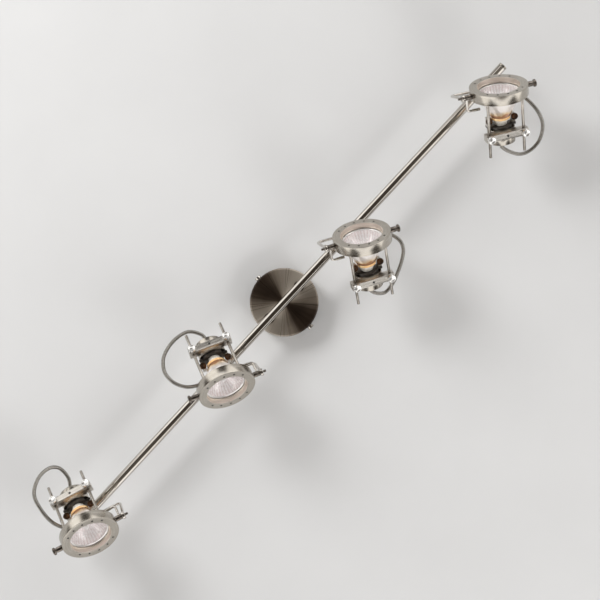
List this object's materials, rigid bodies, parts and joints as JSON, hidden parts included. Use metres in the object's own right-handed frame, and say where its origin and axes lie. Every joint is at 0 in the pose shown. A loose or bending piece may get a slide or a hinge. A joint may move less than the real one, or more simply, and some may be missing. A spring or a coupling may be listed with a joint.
{
  "type": "spotlight bar fixture",
  "caption": "Wall or ceiling bar light: a round canopy carries a straight metal bar with halogen spot heads on swivelling, tilting wire yokes and flexible wiring conduits.",
  "frame": {"origin": "centre of the mounting plate on the wall or ceiling face", "axes": "+X along the bar, +Z out of the mounting surface, +Y across the bar, away from the side the swivel studs lean to"},
  "size_m": [0.8125, 0.175, 0.1275],
  "materials": {
    "satin_nickel": "satin brushed nickel",
    "polished_nickel": "polished nickel",
    "zinc_steel": "zinc plated",
    "terminal_plastic": "plain",
    "flex_steel": "fine ribbed flexible metal hose",
    "lamp_glass": "clear front over a mirrored reflector",
    "ceramic": "unglazed cream ceramic, with dark bronze rivets"
  },
  "bodies": {
    "bar": {"canopy": "satin_nickel", "bar_standoff_left": "satin_nickel", "bar_standoff_right": "satin_nickel", "bar_tube": "polished_nickel", "bar_end_cap_left": "polished_nickel", "bar_end_cap_right": "polished_nickel", "canopy_side_screw_lower": "polished_nickel", "canopy_side_screw_upper": "polished_nickel", "mounting_plate": "zinc_steel", "terminal_block": "terminal_plastic", "head_1_swivel_stud": "polished_nickel", "head_2_swivel_stud": "polished_nickel", "head_3_swivel_stud": "polished_nickel", "head_4_swivel_stud": "polished_nickel"},
    "head_1_arm": {"head_1_yoke": "polished_nickel", "head_1_conduit": "flex_steel"},
    "head_1_spot": {"head_1_ring": "satin_nickel", "head_1_pivot_pin": "polished_nickel", "head_1_side_knob": "polished_nickel", "head_1_aim_handle": "polished_nickel"},
    "head_1_carriage": {"head_1_carrier": "satin_nickel", "head_1_socket": "ceramic", "head_1_lamp": "lamp_glass"},
    "head_1_clamp_left": {"head_1_thumb_screw_left": "satin_nickel"},
    "head_1_clamp_right": {"head_1_thumb_screw_right": "satin_nickel"},
    "head_2_arm": {"head_2_yoke": "polished_nickel", "head_2_conduit": "flex_steel"},
    "head_2_spot": {"head_2_ring": "satin_nickel", "head_2_pivot_pin": "polished_nickel", "head_2_side_knob": "polished_nickel", "head_2_aim_handle": "polished_nickel"},
    "head_2_carriage": {"head_2_carrier": "satin_nickel", "head_2_socket": "ceramic", "head_2_lamp": "lamp_glass"},
    "head_2_clamp_left": {"head_2_thumb_screw_left": "satin_nickel"},
    "head_2_clamp_right": {"head_2_thumb_screw_right": "satin_nickel"},
    "head_3_arm": {"head_3_yoke": "polished_nickel", "head_3_conduit": "flex_steel"},
    "head_3_spot": {"head_3_ring": "satin_nickel", "head_3_pivot_pin": "polished_nickel", "head_3_side_knob": "polished_nickel", "head_3_aim_handle": "polished_nickel"},
    "head_3_carriage": {"head_3_carrier": "satin_nickel", "head_3_socket": "ceramic", "head_3_lamp": "lamp_glass"},
    "head_3_clamp_left": {"head_3_thumb_screw_left": "satin_nickel"},
    "head_3_clamp_right": {"head_3_thumb_screw_right": "satin_nickel"},
    "head_4_arm": {"head_4_yoke": "polished_nickel", "head_4_conduit": "flex_steel"},
    "head_4_spot": {"head_4_ring": "satin_nickel", "head_4_pivot_pin": "polished_nickel", "head_4_side_knob": "polished_nickel", "head_4_aim_handle": "polished_nickel"},
    "head_4_carriage": {"head_4_carrier": "satin_nickel", "head_4_socket": "ceramic", "head_4_lamp": "lamp_glass"},
    "head_4_clamp_left": {"head_4_thumb_screw_left": "satin_nickel"},
    "head_4_clamp_right": {"head_4_thumb_screw_right": "satin_nickel"}
  },
  "joints": [
    {"name": "head_1_swivel", "type": "hinge", "parent": "bar", "child": "head_1_arm", "pos_m": [-0.36225, -0.01696, 0.09347], "axis": [0, -0.2924, 0.9563], "range_deg": [-18, 68]},
    {"name": "head_1_tilt", "type": "hinge", "parent": "head_1_arm", "child": "head_1_spot", "pos_m": [-0.36225, -0.01696, 0.09347], "axis": [0.9354, -0.338, -0.1033], "range_deg": [-3, 87], "deforming": ["head_1_conduit"]},
    {"name": "head_1_focus", "type": "slide", "parent": "head_1_spot", "child": "head_1_carriage", "axis": [-0.1925, -0.7324, 0.6531], "range_m": [-0.01, 0]},
    {"name": "head_1_clamp_turn_left", "type": "hinge", "parent": "head_1_carriage", "child": "head_1_clamp_left", "pos_m": [-0.32508, 0.02611, 0.07616], "axis": [0.2964, 0.591, 0.7502], "range_deg": [0, 360]},
    {"name": "head_1_clamp_turn_right", "type": "hinge", "parent": "head_1_carriage", "child": "head_1_clamp_right", "pos_m": [-0.36624, 0.04098, 0.0807], "axis": [0.2964, 0.591, 0.7502], "range_deg": [0, 360]},
    {"name": "head_2_swivel", "type": "hinge", "parent": "bar", "child": "head_2_arm", "pos_m": [-0.12075, -0.01696, 0.09347], "axis": [0, -0.2924, 0.9563], "range_deg": [-16, 74]},
    {"name": "head_2_tilt", "type": "hinge", "parent": "head_2_arm", "child": "head_2_spot", "pos_m": [-0.12075, -0.01696, 0.09347], "axis": [0.8854, -0.4445, -0.1359], "range_deg": [-8, 80], "deforming": ["head_2_conduit"]},
    {"name": "head_2_focus", "type": "slide", "parent": "head_2_spot", "child": "head_2_carriage", "axis": [-0.3, -0.7698, 0.5633], "range_m": [-0.01, 0]},
    {"name": "head_2_clamp_turn_left", "type": "hinge", "parent": "head_2_carriage", "child": "head_2_clamp_left", "pos_m": [-0.07793, 0.02251, 0.08145], "axis": [0.355, 0.458, 0.815], "range_deg": [0, 360]},
    {"name": "head_2_clamp_turn_right", "type": "hinge", "parent": "head_2_carriage", "child": "head_2_clamp_right", "pos_m": [-0.11689, 0.04207, 0.08743], "axis": [0.355, 0.458, 0.815], "range_deg": [0, 360]},
    {"name": "head_3_swivel", "type": "hinge", "parent": "bar", "child": "head_3_arm", "pos_m": [0.12075, -0.01696, 0.09347], "axis": [0, -0.2924, 0.9563], "range_deg": [-150, 150]},
    {"name": "head_3_tilt", "type": "hinge", "parent": "head_3_arm", "child": "head_3_spot", "pos_m": [0.12075, -0.01696, 0.09347], "axis": [-0.8462, 0.5096, 0.1558], "range_deg": [-38, 46], "deforming": ["head_3_conduit"]},
    {"name": "head_3_focus", "type": "slide", "parent": "head_3_spot", "child": "head_3_carriage", "axis": [0.5107, 0.692, 0.5103], "range_m": [-0.01, 0]},
    {"name": "head_3_clamp_turn_left", "type": "hinge", "parent": "head_3_carriage", "child": "head_3_clamp_left", "pos_m": [0.07303, -0.05235, 0.09124], "axis": [-0.1522, -0.5114, 0.8458], "range_deg": [0, 360]},
    {"name": "head_3_clamp_turn_right", "type": "hinge", "parent": "head_3_carriage", "child": "head_3_clamp_right", "pos_m": [0.11026, -0.07478, 0.08439], "axis": [-0.1522, -0.5114, 0.8458], "range_deg": [0, 360]},
    {"name": "head_4_swivel", "type": "hinge", "parent": "bar", "child": "head_4_arm", "pos_m": [0.36225, -0.01696, 0.09347], "axis": [0, -0.2924, 0.9563], "range_deg": [-150, 150]},
    {"name": "head_4_tilt", "type": "hinge", "parent": "head_4_arm", "child": "head_4_spot", "pos_m": [0.36225, -0.01696, 0.09347], "axis": [-0.8202, 0.5471, 0.1673], "range_deg": [-38, 46], "deforming": ["head_4_conduit"]},
    {"name": "head_4_focus", "type": "slide", "parent": "head_4_spot", "child": "head_4_carriage", "axis": [0.5494, 0.6716, 0.4971], "range_m": [-0.01, 0]},
    {"name": "head_4_clamp_turn_left", "type": "hinge", "parent": "head_4_carriage", "child": "head_4_clamp_left", "pos_m": [0.31299, -0.05023, 0.09229], "axis": [-0.1596, -0.4996, 0.8514], "range_deg": [0, 360]},
    {"name": "head_4_clamp_turn_right", "type": "hinge", "parent": "head_4_carriage", "child": "head_4_clamp_right", "pos_m": [0.34907, -0.07431, 0.08493], "axis": [-0.1596, -0.4996, 0.8514], "range_deg": [0, 360]}
  ]
}
